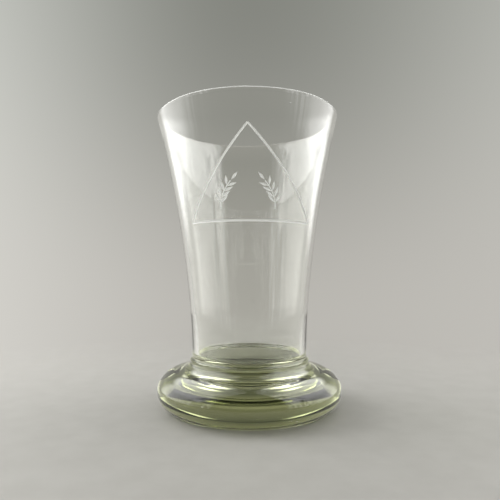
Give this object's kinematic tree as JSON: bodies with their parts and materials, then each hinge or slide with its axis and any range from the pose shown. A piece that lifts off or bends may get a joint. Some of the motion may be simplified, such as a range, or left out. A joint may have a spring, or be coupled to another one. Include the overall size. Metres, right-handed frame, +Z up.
{
  "type": "footed drinking glass",
  "caption": "Heavy-footed toasting glass: thin flared bowl with a wheel-cut triangle on the front, a short flaring collar and a thick bun-shaped foot with a fully rounded edge.",
  "frame": {"origin": "centre of the flat ring that the foot stands on", "axes": "+Z up along the glass's turning axis; the cut triangle faces -Y"},
  "size_m": [0.08, 0.08, 0.125],
  "materials": {
    "bowl_glass": "clear fire-polished glass, wheel-cut lines left matt",
    "collar_glass": "clear fire-polished glass with a slight green tint",
    "foot_glass": "thick fire-polished glass, olive green where it is deep"
  },
  "bodies": {
    "root": {"bowl": "bowl_glass", "collar": "collar_glass", "foot": "foot_glass"}
  },
  "joints": []
}
